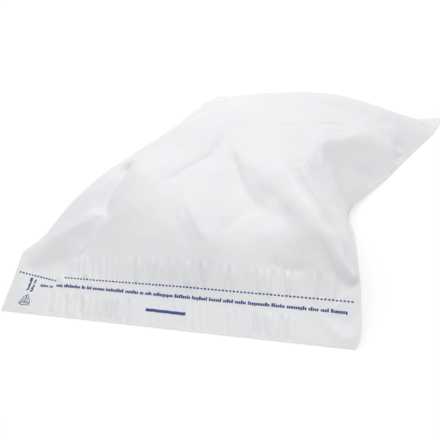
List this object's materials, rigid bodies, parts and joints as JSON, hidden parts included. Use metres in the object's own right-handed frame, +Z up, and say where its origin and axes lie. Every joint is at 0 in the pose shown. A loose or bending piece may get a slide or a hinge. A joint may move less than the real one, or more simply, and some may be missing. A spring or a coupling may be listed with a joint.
{
  "type": "poly mailer bag",
  "caption": "Filled and sealed white plastic mailing bag lying on a table, with a printed tear strip at its near end and one far corner stretched out flat.",
  "frame": {"origin": "middle of the bag's outer box, on the table", "axes": "+Z up, -Y towards the straight edge of the closing strip, +X along that edge to the right"},
  "size_m": [0.4984, 0.4582, 0.0762],
  "materials": {
    "film": "satin"
  },
  "bodies": {
    "root": {"mailer_bag": "film"}
  },
  "joints": []
}
